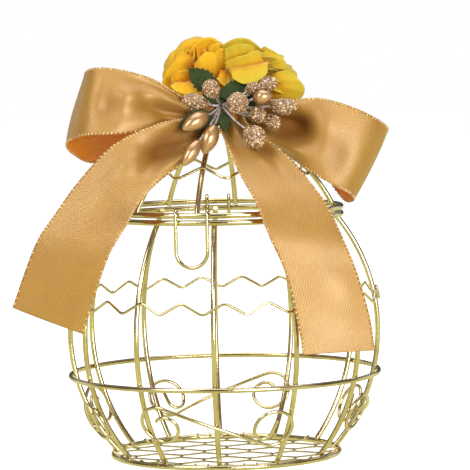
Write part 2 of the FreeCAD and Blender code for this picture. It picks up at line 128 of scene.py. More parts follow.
def addWorld(spec):
    world = bpy.data.worlds.new("studioRoom")
    bpy.context.scene.world = world
    world.use_nodes = True
    tree = world.node_tree
    tree.nodes.clear()
    link = tree.links.new
    where = addNode(tree, "TexCoord").outputs["Generated"]
    turn = addNode(tree, "Mapping", Rotation=(0, 0, math.radians(spec["turn"])))
    around = addNode(tree, "TexGradient")
    around.gradient_type = "RADIAL"
    bands = addNode(tree, "ValToRGB")
    fillRamp(bands, [(place, [level * share for share in spec["walls"]]) for place, level in spec["bands"]])
    split = addNode(tree, "SeparateXYZ")
    rise = addNode(tree, "MapRange", From_Min=spec["duskFrom"], From_Max=spec["duskTo"],
                   To_Max=spec["duskMost"])
    above = addNode(tree, "MixRGB", Color2=spec["dusk"])  # the room is dusky above the walls
    peak = addNode(tree, "MapRange", From_Min=spec["roofFrom"], From_Max=spec["roofTo"])
    roof = addNode(tree, "MixRGB", Color2=white)  # and white overhead
    seen = addNode(tree, "Background", Color=white)
    ambient = addNode(tree, "Background", Color=white, Strength=spec["ambient"])
    mirrored = addNode(tree, "Background", Strength=spec["mirrored"])
    rays = addNode(tree, "LightPath")
    shaded = addNode(tree, "MixShader")
    shown = addNode(tree, "MixShader")
    output = addNode(tree, "OutputWorld")
    link(where, turn.inputs["Vector"])
    link(where, split.inputs["Vector"])
    link(turn.outputs["Vector"], around.inputs["Vector"])
    link(around.outputs["Fac"], bands.inputs["Fac"])
    link(split.outputs["Z"], rise.inputs["Value"])
    link(split.outputs["Z"], peak.inputs["Value"])
    link(rise.outputs["Result"], above.inputs["Fac"])
    link(bands.outputs["Color"], above.inputs["Color1"])
    link(peak.outputs["Result"], roof.inputs["Fac"])
    link(above.outputs["Color"], roof.inputs["Color1"])
    link(roof.outputs["Color"], mirrored.inputs["Color"])
    link(rays.outputs["Is Glossy Ray"], shaded.inputs["Fac"])
    link(ambient.outputs["Background"], shaded.inputs[1])
    link(mirrored.outputs["Background"], shaded.inputs[2])
    link(rays.outputs["Is Camera Ray"], shown.inputs["Fac"])
    link(shaded.outputs["Shader"], shown.inputs[1])
    link(seen.outputs["Background"], shown.inputs[2])
    link(shown.outputs["Shader"], output.inputs["Surface"])


paleFloor = {"size": 6.0, "colour": (0.9, 0.9, 0.89, 1), "lift": 0.7, "mirrored": 0.9,
             "warm": (1.0, 0.98, 0.52, 1)}


def addFloor(spec):
    deselect()
    bpy.ops.mesh.primitive_plane_add(size=spec["size"])
    floor = bpy.context.object
    floor.name = "paleFloor"
    material = bpy.data.materials.new("paleFloor")
    material.use_nodes = True
    tree = material.node_tree
    tree.nodes.clear()
    link = tree.links.new
    matt = addNode(tree, "BsdfDiffuse", Color=spec["colour"])
    glow = addNode(tree, "Emission")
    both = addNode(tree, "AddShader")
    rays = addNode(tree, "LightPath")
    lift = addNode(tree, "Math")
    lift.operation = "MULTIPLY"
    lift.inputs[1].default_value = spec["lift"]
    dim = addNode(tree, "Emission", Color=spec["warm"], Strength=spec["mirrored"])  # what the wire mirrors
    choose = addNode(tree, "MixShader")
    output = addNode(tree, "OutputMaterial")
    link(rays.outputs["Is Camera Ray"], lift.inputs[0])
    link(lift.outputs["Value"], glow.inputs["Strength"])
    link(matt.outputs["BSDF"], both.inputs[0])
    link(glow.outputs["Emission"], both.inputs[1])
    link(rays.outputs["Is Glossy Ray"], choose.inputs["Fac"])
    link(both.outputs["Shader"], choose.inputs[1])
    link(dim.outputs["Emission"], choose.inputs[2])
    link(choose.outputs["Shader"], output.inputs["Surface"])
    floor.data.materials.append(material)


addCamera(photoCamera)
addLights(softboxes)
addWorld(studioRoom)
addFloor(paleFloor)
bpy.context.scene.view_settings.view_transform = "Standard"
print("studio set")


# material helpers


class Finish:
    def __init__(self, name):
        self.material = bpy.data.materials.new(name)
        self.material.use_nodes = True
        self.tree = self.material.node_tree
        self.link = self.tree.links.new
        self.shader = self.tree.nodes["Principled BSDF"]

    def set(self, **values):
        for socket, value in values.items():
            self.shader.inputs[socket.replace("_", " ")].default_value = value

    def into(self, output, socket):
        self.link(output, self.shader.inputs[socket])

    def node(self, kind, **values):
        return addNode(self.tree, kind, **values)

    def coords(self, which):
        return self.node("TexCoord").outputs[which]

    def attribute(self, name):
        made = self.node("Attribute")
        made.attribute_name = name
        return made.outputs["Fac"]

    def noise(self, vector, scale, detail=3.0):
        made = self.node("TexNoise", Scale=scale, Detail=detail)
        self.link(vector, made.inputs["Vector"])
        return made.outputs["Fac"]

    def waves(self, vector, lean, **values):
        turned = self.node("Mapping", Rotation=(0, 0, math.radians(lean)))
        made = self.node("TexWave", **values)
        self.link(vector, turned.inputs["Vector"])
        self.link(turned.outputs["Vector"], made.inputs["Vector"])
        return made.outputs["Fac"]

    def mix(self, share, first, second):
        made = self.node("MixRGB")
        for socket, value in zip(("Fac", "Color1", "Color2"), (share, first, second)):
            if isinstance(value, bpy.types.NodeSocket):
                self.link(value, made.inputs[socket])
            else:
                made.inputs[socket].default_value = value
        return made.outputs["Color"]

    def ramp(self, factor, *stops):
        made = self.node("ValToRGB")
        fillRamp(made, stops)
        self.link(factor, made.inputs["Fac"])
        return made.outputs["Color"]

    def span(self, value, low, high):
        made = self.node("MapRange", To_Min=low, To_Max=high)
        self.link(value, made.inputs["Value"])
        return made.outputs["Result"]

    def bump(self, height, strength, distance):
        made = self.node("Bump", Strength=strength, Distance=distance)
        self.link(height, made.inputs["Height"])
        self.link(made.outputs["Normal"], self.shader.inputs["Normal"])


# plated wire

platedWire = {"pale": (0.68, 0.605, 0.375), "deep": (0.54, 0.45, 0.24), "patches": 160.0,
              "gloss": (0.07, 0.2), "glossPatches": 420.0, "pits": 1500.0, "pitting": (0.12, 0.0002)}


def platedWireFinish(spec):
    finish = Finish("platedWire")
    place = finish.coords("Object")
    patches = finish.noise(place, spec["patches"])
    finish.into(finish.ramp(patches, (0.32, spec["deep"]), (0.62, spec["pale"])), "Base Color")
    finish.into(finish.span(finish.noise(place, spec["glossPatches"]), *spec["gloss"]), "Roughness")
    finish.set(Metallic=1.0)
    finish.bump(finish.noise(place, spec["pits"]), *spec["pitting"])
    return finish.material


wireFinish = platedWireFinish(platedWire)


def dressNode(nodeName, material):
    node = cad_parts[nodeName]
    node.data.materials.clear()
    node.data.materials.append(material)


wireStarts = ("base_ring", "body_", "belly_", "mouth_", "scroll_", "lid_", "crown_", "hinge_", "latch_")
for wireName in nodesNamed(*wireStarts):
    dressNode(wireName, wireFinish)
print("wires plated")


# mesh helpers


def selectOnly(*pieces):
    deselect()
    for piece in pieces:
        piece.select_set(True)
    bpy.context.view_layer.objects.active = pieces[0]


def finishPiece(piece, name, materials, body, slotName, replaced=()):
    piece.name = name
    piece.data.name = name
    for material in materials:
        piece.data.materials.append(material)
    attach(piece, body)
    if replaced:
        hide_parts(*replaced)


def gridPiece(columns, rows, pointAt, uvAt, foldShadeAt=None):
    deselect()
    bpy.ops.mesh.primitive_grid_add(x_subdivisions=columns, y_subdivisions=rows, size=2)
    piece = bpy.context.object
    mesh = piece.data
    flat = [(vertex.co.x, (vertex.co.y + 1) / 2) for vertex in mesh.vertices]
    uvLayer = mesh.uv_layers[0].data
    for loop in mesh.loops:
        uvLayer[loop.index].uv = uvAt(*flat[loop.vertex_index])
    for vertex, (across, along) in zip(mesh.vertices, flat):
        vertex.co = Vector(pointAt(across, along)) * mm
    # store the painted shade mask on the points
    if foldShadeAt:
        foldShades = mesh.attributes.new("fold", "FLOAT", "POINT")
        for mark, place in zip(foldShades.data, flat):
            mark.value = foldShadeAt(*place)
    bpy.ops.object.shade_smooth()
    return piece


def thicken(piece, thickness, backSlot=0):
    selectOnly(piece)
    wall = piece.modifiers.new("thickness", "SOLIDIFY")
    wall.thickness = thickness * mm
    wall.offset = 0
    wall.material_offset = backSlot
    bpy.ops.object.modifier_apply(modifier=wall.name)


def joinPieces(pieces):
    selectOnly(*pieces)
    bpy.ops.object.join()
    return bpy.context.object


def copiesOf(template, places):
    corners, faces = [], []
    for place in places:
        start = len(corners)
        corners += [place @ vertex.co for vertex in template.data.vertices]
        faces += [[start + index for index in face.vertices] for face in template.data.polygons]
    mesh = bpy.data.meshes.new("copies")
    mesh.from_pydata(corners, [], faces)
    mesh.shade_smooth()
    bpy.data.objects.remove(template)
    made = bpy.data.objects.new("copies", mesh)
    bpy.context.scene.collection.objects.link(made)
    return made


def through(values, share):
    last = len(values) - 1
    reach = min(max(share, 0.0), 1.0) * last
    index = min(int(reach), last - 1)
    part = reach - index
    before, start = values[max(index - 1, 0)], values[index]
    end, after = values[index + 1], values[min(index + 2, last)]
    bend = 2 * before - 5 * start + 4 * end - after
    swing = 3 * start - before - 3 * end + after
    return 0.5 * (2 * start + (end - before) * part + bend * part ** 2 + swing * part ** 3)


# satin ribbon

satin = {
    # deep is a painted shade colour, which the fold mask mixes into the satin in dents and near the knot
    "light": (0.45, 0.235, 0.034), "mid": (0.30, 0.128, 0.014), "deep": (0.165, 0.040, 0.002),
    "dull": (0.80, 0.28, 0.010), "dullMid": (0.66, 0.21, 0.006),
    "twill": 10.5, "twillLean": 32, "twillStray": 0.35, "twillShare": 0.42, "cloud": 3.0, "grain": 50.0,
    "grainShare": 0.4, "glossPatches": 40.0, "smoother": 0.05, "rougher": 0.07, "foldRough": 0.95,
    "shine": 0.8, "foldShine": 0.2, "coat": 1.8, "threads": 75.0, "threadShare": 0.72,
    "relief": (0.55, 0.00016),
    "tile": 20.0, "width": 20.0, "thickness": 0.25, "columns": 28, "rows": 150,
    "hollow": 5.0, "mostFoldShade": 0.7, "ripple": 0.3, "rippleSlant": 1.6,
}


def satinFinish(name, low, high, rough, sheen, lustre):
    finish = Finish(name)
    flat = finish.coords("UV")
    fold = finish.attribute("fold")
    twill = finish.waves(flat, satin["twillLean"], Scale=satin["twill"], Distortion=satin["twillStray"],
                         Detail=1.0)
    cloud = finish.noise(flat, satin["cloud"])
    grain = finish.mix(satin["grainShare"], cloud, finish.noise(flat, satin["grain"], 2.0))
    weave = finish.mix(satin["twillShare"], grain, twill)
    plain = finish.ramp(weave, (0.2, low), (0.75, high))
    # painted shade: the fold mask darkens the base colour towards deep; the same mask dulls the shine there
    finish.into(finish.mix(fold, plain, (*satin["deep"], 1)), "Base Color")
    patches = finish.noise(flat, satin["glossPatches"])
    gloss = finish.span(patches, rough - satin["smoother"], rough + satin["rougher"])
    dull = satin["foldRough"]
    finish.into(finish.mix(fold, gloss, (dull, dull, dull, 1)), "Roughness")
    finish.into(finish.span(fold, satin["coat"] * lustre, 0.0), "Coat Weight")
    finish.into(finish.span(fold, sheen, 0.0), "Sheen Weight")
    finish.into(finish.span(fold, satin["shine"], satin["foldShine"]), "Specular IOR Level")
    tangent = finish.node("Tangent")
    tangent.direction_type = "UV_MAP"
    finish.into(tangent.outputs["Tangent"], "Tangent")
    finish.set(Metallic=lustre, Anisotropic=0.5, IOR=1.65, Sheen_Roughness=0.35, Coat_Roughness=0.36)
    finish.set(Specular_Tint=(1.0, 0.96, 0.72, 1), Sheen_Tint=(1.0, 0.9, 0.55, 1))
    finish.set(Coat_Tint=(1.0, 0.97, 0.88, 1))
    threads = finish.mix(satin["threadShare"], twill, finish.noise(flat, satin["threads"], 1.0))
    finish.bump(threads, *satin["relief"])
    return finish.material


ribbonFace = satinFinish("satinFace", satin["mid"], satin["light"], rough=0.46, sheen=0.2, lustre=0.2)
ribbonBack = satinFinish("satinBack", satin["dullMid"], satin["dull"], rough=0.6, sheen=0.1, lustre=0.0)


stitch = {"thread": (0.86, 0.60, 0.26), "strands": 900.0, "fuzz": 4000.0, "relief": (0.3, 0.0001),
          "pitch": 1.1, "bead": 0.3, "stretch": (1.8, 0.95, 0.95, 1), "edge": 0.975, "inner": 0.9,
          "lean": 0.4}


def threadFinish(spec):
    finish = Finish("selvedgeThread")
    place = finish.coords("Object")
    strands = finish.noise(place, spec["strands"])
    finish.into(finish.ramp(strands, (0.3, satin["mid"]), (0.7, spec["thread"])), "Base Color")
    finish.set(Roughness=0.42, Sheen_Weight=0.3)
    finish.bump(finish.noise(place, spec["fuzz"]), *spec["relief"])
    return finish.material


threadMaterial = threadFinish(stitch)
knotMiddle = middleOf("bow_knot")


def stripStations(spec):
    middles = [knotMiddle + Vector(station[0]) for station in spec["stations"]]
    acrosses = [Vector(station[1]).normalized() for station in spec["stations"]]
    shares = [station[2] for station in spec["stations"]]
    return middles, acrosses, shares


def dentRise(dent, across, along):
    sideways, onward, reach, run, depth = dent
    return depth * math.exp(-((across - sideways) / reach) ** 2 - ((along - onward) / run) ** 2)


def stripPoint(spec, lists, across, along):
    middles, acrosses, shares = lists
    step = 0.004
    heading = through(middles, along + step) - through(middles, along - step)
    side = through(acrosses, along).normalized()
    face = heading.cross(side).normalized() * spec["faces"]
    share = through(shares, along)
    gather = max(0.0, 1 - share)
    pleatTurn = spec["pleats"] * math.pi * across + spec["pleatPhase"]
    rippleTurn = spec["rippleTurns"] * math.pi * along + satin["rippleSlant"] * across
    pleat = spec["pleatDepth"] * gather * math.cos(pleatTurn)
    crown = spec["crown"] * share * (1 - across ** 2)
    ripple = satin["ripple"] * share * math.sin(rippleTurn)
    rise = pleat + crown + ripple
    for dent in spec["dents"]:
        rise += dentRise(dent, across, along)
    return through(middles, along) + side * (satin["width"] * share / 2 * across) + face * rise


# painted shade mask: strongest in sinking dents and where the strip gathers into the knot
def stripFoldShade(spec, lists, across, along):
    hollow = -sum(dentRise(dent, across, along) for dent in spec["dents"] if dent[-1] < 0)
    gather = (spec["gathered"] - through(lists[2], along)) / spec["gathered"]
    return min(satin["mostFoldShade"], hollow / satin["hollow"] + max(0.0, gather))


def stripLength(spec, lists):
    steps = 80
    points = [stripPoint(spec, lists, 0, step / steps) for step in range(steps + 1)]
    return sum((b - a).length for a, b in zip(points, points[1:]))


def selvedge(spec, lists, length):
    deselect()
    bpy.ops.mesh.primitive_uv_sphere_add(segments=6, ring_count=4, radius=stitch["bead"] * mm)
    bead = bpy.context.object
    count = int(length / stitch["pitch"])
    back = stitch["lean"] * stitch["pitch"] / length
    places = []
    for edge in (-1, 1):
        for index in range(1, count):
            along = index / count
            here = stripPoint(spec, lists, edge * stitch["edge"], along)
            inner = stripPoint(spec, lists, edge * stitch["inner"], along - back)
            turn = (here - inner).to_track_quat("X", "Z").to_matrix().to_4x4()
            places.append(Matrix.Translation(here * mm) @ turn @ Matrix.Diagonal(stitch["stretch"]))
    return copiesOf(bead, places)


def satinSheet(columns, rows, pointAt, uvAt, foldShadeAt=None):
    sheet = gridPiece(columns, rows, pointAt, uvAt, foldShadeAt)
    for material in (ribbonFace, ribbonBack):
        sheet.data.materials.append(material)
    thicken(sheet, satin["thickness"], backSlot=1)
    return sheet


def ribbonPiece(spec):
    lists = stripStations(spec)
    length = stripLength(spec, lists)
    tile = satin["tile"]

    def pointAt(across, along):
        return stripPoint(spec, lists, -across * spec["faces"], along)

    def uvAt(across, along):
        return (across * satin["width"] / 2 / tile, along * length / tile)

    def foldShadeAt(across, along):
        return stripFoldShade(spec, lists, -across * spec["faces"], along)

    strip = satinSheet(satin["columns"], satin["rows"], pointAt, uvAt, foldShadeAt)
    finishPiece(strip, spec["name"], (), "lid", "satin_ribbon", (spec["node"],))
    edging = selvedge(spec, lists, length)
    finishPiece(edging, spec["name"] + "_selvedge", (threadMaterial,), "lid", "satin_ribbon")
    print("ribbon", spec["name"], "is %.0f mm long" % length)


# each ribbon's stations: middle from the knot, way across and share of the width;
# its dents: place across and along, reach across and along, and depth

# the gathered share and the sinking dents also set where the painted fold shade falls
butt = 4.8  # loops start at the knot's side

leftLoop = {
    "name": "satin_loop_left", "node": "bow_loop_left", "held": "gathered", "faces": 1, "pleats": 2,
    "pleatDepth": 2.6, "pleatPhase": 1.57, "crown": 0.7, "rippleTurns": 7, "gathered": 0.36,
    "dents": [
        (0.9, 0.17, 0.3, 0.06, -3.0), (-0.4, 0.2, 0.3, 0.06, 1.6), (0.15, 0.24, 0.25, 0.06, -0.9),
        (-0.05, 0.33, 0.35, 0.035, 1.3), (0.2, 0.385, 0.4, 0.03, -1.3), (-0.5, 0.42, 0.5, 0.04, 0.5),
    ],
    "stations": [
        ((-butt + 1.0, -2, 0.2), (0, 0, -1), 0.26),
        ((-butt - 3.6, -5.2, 0.6), (0.6, 0, -4.2), 0.32),
        ((-butt - 10.2, -7.4, 2.2), (-0.2, -1.2, -10), 0.54),
        ((-butt - 15.8, -9.4, 3.6), (0.9, -3, -14), 0.76),
        ((-butt - 24.6, -11.8, 4.3), (-0.7, -6, -16.6), 0.94),
        ((-butt - 32.2, -10.4, 4.3), (-2, -6.5, -16.9), 0.97),
        ((-butt - 36.1, -3.5, 2.2), (-4.9, -5, -19.2), 1.0),
        ((-butt - 35.0, 3.5, -1.2), (-4.9, -3, -20), 1.0),
        ((-butt - 28.9, 7.6, -3.8), (-5.2, -2, -19.8), 1.0),
        ((-butt - 17.9, 6.8, -2.6), (-2.5, -2, -14), 0.7),
        ((-butt - 7, 3.6, -0.4), (0, 0, -1), 0.36),
        ((-butt + 1.0, 1.6, 0), (0, 0, -1), 0.26),
    ],
}
rightLoop = {
    "name": "satin_loop_right", "node": "bow_loop_right", "held": "gathered", "faces": -1, "pleats": 3,
    "pleatDepth": 2.8, "pleatPhase": 0.2, "crown": 0.7, "rippleTurns": 6, "gathered": 0.58,
    "dents": [
        (-0.1, 0.195, 0.45, 0.065, -5.2), (-0.85, 0.18, 0.25, 0.06, 1.6), (0.55, 0.23, 0.25, 0.05, 1.6),
        (-0.3, 0.3, 0.4, 0.05, 1.0), (0.3, 0.36, 0.5, 0.045, -1.0), (0.0, 0.125, 0.45, 0.05, -1.6),
    ],
    "stations": [
        ((butt - 1.0, -2, -0.2), (0, 0, -1), 0.26),
        ((butt + 6.3, -3, -2.6), (0.8, 0, -5), 0.62),
        ((butt + 12.8, -6.6, -4.1), (-0.9, -0.6, -15), 0.76),
        ((butt + 20.2, -11.0, -6.0), (-2.7, -2, -19.5), 1.02),
        ((butt + 27.3, -11.8, -8.9), (-4.8, -4.0, -22.4), 1.13),
        ((butt + 33.4, -10.0, -12.0), (-7.8, -4.5, -22.1), 1.12),
        ((butt + 36.1, -5.4, -14.7), (-10, -5, -20.3), 1.12),
        ((butt + 33.4, 0.5, -15.2), (-10, -4.5, -18.4), 1.1),
        ((butt + 24.8, 6, -9.6), (-5, -2, -16), 0.8),
        ((butt + 14.7, 6, -4.4), (-3, -2, -10.5), 0.52),
        ((butt + 6.6, 3.6, -1), (0, 0, -1), 0.34),
        ((butt - 1.0, 1.6, 0), (0, 0, -1), 0.26),
    ],
}
leftTail = {
    "name": "satin_tail_left", "node": "bow_tail_left", "held": "hung", "faces": 1, "pleats": 2,
    "pleatDepth": 2.2, "pleatPhase": 0.9, "crown": 0.6, "rippleTurns": 3, "gathered": 0.58,
    "dents": [
        (-0.8, 0.27, 0.4, 0.08, 3.0), (-0.08, 0.3, 0.46, 0.085, -4.4), (0.8, 0.33, 0.3, 0.07, 1.0),
        (-0.1, 0.46, 0.8, 0.08, 0.9), (0.6, 0.66, 0.5, 0.1, -0.8),
    ],
    "stations": [
        ((-2.6, -4.2, -0.6), (0.6, 0, -3.3), 0.24),
        ((-6.2, -7.56, -3.6), (1.4, -0.4, -3.6), 0.32),
        ((-12.5, -11.85, -7.2), (4.6, -3, -8.5), 0.55),
        ((-20.9, -16.7, -11.4), (4.8, -6, -12.8), 0.8),
        ((-27.3, -19.57, -15.9), (7.4, -6.5, -13.5), 0.91),
        ((-33.5, -20.7, -23.4), (11.9, -6, -11.8), 0.95),
        ((-38.7, -21.57, -30.8), (13.8, -5, -8.9), 0.96),
        ((-43.3, -21.29, -39.3), (16.3, -4, -8.6), 1.03),
        ((-49.2, -19.57, -55.3), (19.3, -3, -7.5), 1.04),
    ],
}
rightTail = {
    "name": "satin_tail_right", "node": "bow_tail_right", "held": "hung", "faces": 1, "pleats": 2,
    "pleatDepth": 2.2, "pleatPhase": 0.4, "crown": 0.6, "rippleTurns": 3, "gathered": 0.58,
    "dents": [(0.5, 0.22, 0.4, 0.07, -1.4), (-0.4, 0.3, 0.4, 0.08, 0.9), (0.3, 0.8, 0.6, 0.08, 0.8)],
    "stations": [
        ((2.2, -4.2, -1.6), (3, 0, 0.4), 0.32),
        ((3.6, -7.56, -5.2), (7.8, 1.4, 0), 0.44),
        ((8.4, -12.14, -10.3), (13.3, 1.6, 1.2), 0.68),
        ((13.2, -17.86, -16.7), (17.1, 2, 0), 0.88),
        ((18, -23.58, -24), (18.9, 3.5, -0.9), 0.98),
        ((22, -28.0, -33.3), (19.7, 3.6, -1.4), 1.02),
        ((25.8, -29.2, -42.8), (19.1, 3.4, -1.2), 1.0),
        ((28.9, -30.4, -55.3), (19.4, 3.6, -0.9), 1.02),
        ((30.1, -32.2, -64.3), (19, 4, 0.5), 1.0),
    ],
}
for ribbonSpec in (leftLoop, rightLoop, leftTail, rightTail):
    ribbonPiece(ribbonSpec)


# the knot is a band of ribbon wrapped once round the gathered loops

knotWrap = {
    "width": 9.0, "depth": 8.0, "height": 6.9, "squareness": 0.72, "pinch": 0.16, "inset": 0.35,
    "pleats": 4, "pleatDepth": 0.35, "wander": 0.8, "girth": 26, "flat": (0.0105, 0.026),
    "columns": 24, "rows": 64,
}


def knotPiece(spec):
    def pointAt(across, along):
        angle = 2 * math.pi * along + math.pi / 2
        pinch = 1 - spec["pinch"] * (1 - across ** 2)
        pleatTurn = spec["pleats"] * math.pi * across + spec["wander"] * math.sin(angle)
        pleat = spec["pleatDepth"] * math.cos(pleatTurn)
        wrap = []
        for part, size in ((math.cos(angle), spec["depth"]), (math.sin(angle), spec["height"])):
            reach = size / 2 * pinch + pleat - spec["inset"]
            wrap.append(math.copysign(abs(part) ** spec["squareness"], part) * reach)
        return knotMiddle + Vector((across * spec["width"] / 2, *wrap))

    def uvAt(across, along):
        return (across * spec["width"] / 2 / satin["tile"], along * spec["girth"] / satin["tile"])

    knot = satinSheet(spec["columns"], spec["rows"], pointAt, uvAt)
    finishPiece(knot, "satin_knot", (), "lid", "satin_ribbon", ("bow_knot",))


knotPiece(knotWrap)
print("bow tied")


# paper roses

paper = {"thickness": 0.22, "mottle": 700.0, "mottleShare": 0.22, "stretch": (60, 5, 1),
         "fibres": 3.0, "relief": (0.3, 0.0002)}


def paperFinish(name, crease, middle, rim):
    finish = Finish(name)
    flat = finish.coords("UV")
    split = finish.node("SeparateXYZ")
    finish.link(flat, split.inputs["Vector"])
    mottle = finish.noise(finish.coords("Object"), paper["mottle"])
    height = finish.mix(paper["mottleShare"], split.outputs["Y"], mottle)
    # paper tone pales from foot to rim; the crease stop is painted crease shade at each petal's foot
    finish.into(finish.ramp(height, (0.18, crease), (0.5, middle), (0.85, rim)), "Base Color")
    stretched = finish.node("Mapping", Scale=paper["stretch"])
    finish.link(flat, stretched.inputs["Vector"])
    finish.bump(finish.noise(stretched.outputs["Vector"], paper["fibres"]), *paper["relief"])
    finish.set(Roughness=0.72, Sheen_Weight=0.15, Subsurface_Weight=0.12, Subsurface_Scale=0.001)
    finish.set(Subsurface_Radius=(1.0, 0.6, 0.15), Specular_IOR_Level=0.25)
    return finish.material


amberPaper = paperFinish("amberPaper", crease=(0.62, 0.145, 0.002), middle=(0.73, 0.33, 0.003),
                         rim=(0.77, 0.44, 0.010))
lemonPaper = paperFinish("lemonPaper", crease=(0.64, 0.175, 0.002), middle=(0.64, 0.335, 0.003),
                         rim=(0.55, 0.41, 0.024))

# petal rings from the middle out: count, foot radius, rim radius, foot height, rim height,
# width in degrees, curl and droop of the lip
petalRings = [
    (2, 0.5, 2.2, -2.0, 6.8, 230, -0.6, 0.0),
    (3, 1.2, 3.9, -2.4, 6.4, 165, -0.2, 0.0),
    (4, 1.8, 6.2, -3.0, 5.6, 128, 0.8, 0.4),
    (5, 2.4, 8.6, -3.6, 4.0, 108, 1.6, 1.2),
    (6, 2.8, 10.6, -4.2, 1.6, 94, 2.0, 2.2),
    (6, 3.0, 11.4, -4.8, -1.8, 84, 1.6, 2.6),
]
# outer petals, listed one by one: foot left and right, then rim left, middle and right,
# all from the knot's middle, and the swell
leftRose = {
    "name": "paper_rose_left", "node": "rose_left", "slot": "amber_paper", "paper": amberPaper,
    "lean": (46, -34), "shift": (-1.2, -2.0, 0.4), "seed": 5, "spread": 0.86,
    "flaps": [
        ((-9, 13, 6), (-8, 14, 15), (-17.8, 10, 6.6), (-15.4, 9.5, 12.6), (-11, 11, 17.2), 1.4),
        ((-9, 16, 12), (-2, 16, 12), (-9.4, 15, 17.4), (-5.0, 15.6, 20.9), (-1.4, 15, 20.2), -1.0),
        ((-4, 14, 12), (1.5, 14, 12), (-3.8, 13, 18.6), (-0.8, 13, 19.6), (2.4, 13, 18.2), 0.8),
        ((-7.4, 7, 8.6), (-1.2, 7, 9.4), (-7.8, 4.5, 13.6), (-4.8, 3.2, 17.2), (-1.4, 4.5, 16.4), 1.6),
        ((-2.0, 9, 8.6), (1.8, 9, 9.6), (-1.8, 8, 17.2), (0.2, 7.4, 18.2), (1.9, 8, 16.6), 1.2),
        ((-14.6, 7, 7.6), (-9.4, 6, 8.6), (-14.2, 4.6, 10.6), (-11.8, 3.6, 12.4), (-9.6, 4.4, 12.0), 0.8),
        ((-13.2, 5.5, 9.0), (-8.0, 4.5, 9.0), (-14.6, 1.5, 7.2), (-10.8, -0.4, 5.4), (-6.4, 0.6, 5.6), 1.2),
        ((-0.6, 4, 12), (4.6, 4, 12), (-1.6, 0.4, 9.4), (1.8, -0.8, 7.2), (5.2, 0, 8.2), -0.8),
    ],
}
rightRose = {
    "name": "paper_rose_right", "node": "rose_right", "slot": "lemon_paper", "paper": lemonPaper,
    "lean": (6, 14), "shift": (0.9, 1.6, -1.4), "seed": 11, "spread": 0.9,
    "flaps": [
        ((1.4, 2.0, 13.0), (13.2, 1.5, 14.2), (3.0, -4.4, 9.2), (8.6, -6.0, 8.0), (12.6, -4.0, 10.8), 1.8),
        ((1.4, 3.5, 11.5), (12.4, 3.0, 13.0), (0.8, -0.6, 14.2), (5.6, -1.8, 16.6), (10.4, -0.6, 17.6), 1.4),
        ((0.6, 11, 12), (11.5, 11, 13), (0.2, 11.5, 18.8), (6.0, 12.4, 20.8), (11.4, 11, 17.2), -1.2),
        ((1.0, 6, 12.5), (9.0, 6, 13.5), (0.8, 4.4, 18.0), (4.8, 3.6, 19.4), (9.0, 4.2, 18.6), 1.0),
        ((10.2, 7, 10), (11.2, 9, 16.5), (18.2, 4.5, 10.6), (17.6, 4, 14.6), (12.0, 6.5, 18.4), 1.4),
        ((13.0, 2.5, 3.6), (12.4, 3.5, 10.2), (21.4, 0.0, 3.4), (22.8, -0.8, 7.4), (17.8, 0.4, 11.8), 1.6),
        ((2.0, 12, 8), (12.0, 12, 8), (2.4, 18, 9), (8.0, 20.5, 10), (14.0, 18, 9.5), 1.0),
        ((13.0, 10, 8), (13.0, 14, 12), (20.0, 10, 6), (21.0, 13, 10), (18.0, 16, 13), 1.0),
    ],
}


looseTurn = 6.28  # start angles are drawn from one turn
petal = {
    "columns": 16, "rows": 12, "ruffle": (0.25, 0.6), "tall": (0.9, 1.1), "skew": (-0.25, 0.25),
    "jitter": (-0.18, 0.18), "taper": 0.2, "notch": 0.05, "notches": 3, "footWidth": 0.45, "opening": 1.5,
    "lip": 0.68, "lipBend": 9, "flare": 1.25, "climb": 0.8, "ruffles": 4.5, "wobble": 0.35, "wobbles": 3.1,
}
flapShape = {
    "columns": 18, "rows": 14, "cup": 0.45, "lip": 0.72, "lipBend": 6, "ruffle": 0.35, "ruffles": 3.4,
    "crinkle": 0.12, "crinkles": (9, 5), "paleFoot": 0.3,
}


def petalPiece(ring, start, dice):
    foot, rim, low, high, width, curl, droop = ring[1:]
    wave = dice.uniform(0, looseTurn)
    ruffle = dice.uniform(*petal["ruffle"])
    tall = dice.uniform(*petal["tall"])
    skew = dice.uniform(*petal["skew"])

    def pointAt(across, along):
        notch = petal["notch"] * math.cos(petal["notches"] * across + wave)
        top = along * (1 - petal["taper"] * across ** 2 - notch)
        opened = math.sin(min(1.0, petal["opening"] * along) * math.pi / 2)
        spread = math.radians(width / 2) * (petal["footWidth"] + (1 - petal["footWidth"]) * opened)
        angle = start + across * spread + skew * top * top
        lip = petal["lipBend"] * max(0.0, top - petal["lip"]) ** 2
        radius = foot + (rim - foot) * top ** petal["flare"] + curl * lip
        radius += ruffle * top ** 2 * math.sin(petal["ruffles"] * across + wave)
        height = low + (high - low) * tall * top ** petal["climb"] - droop * lip
        height += petal["wobble"] * top * math.sin(petal["wobbles"] * across + 2 * wave)
        return Vector((radius * math.cos(angle), radius * math.sin(angle), height))

    def uvAt(across, along):
        return ((across + 1) / 2, along)

    return gridPiece(petal["columns"], petal["rows"], pointAt, uvAt)


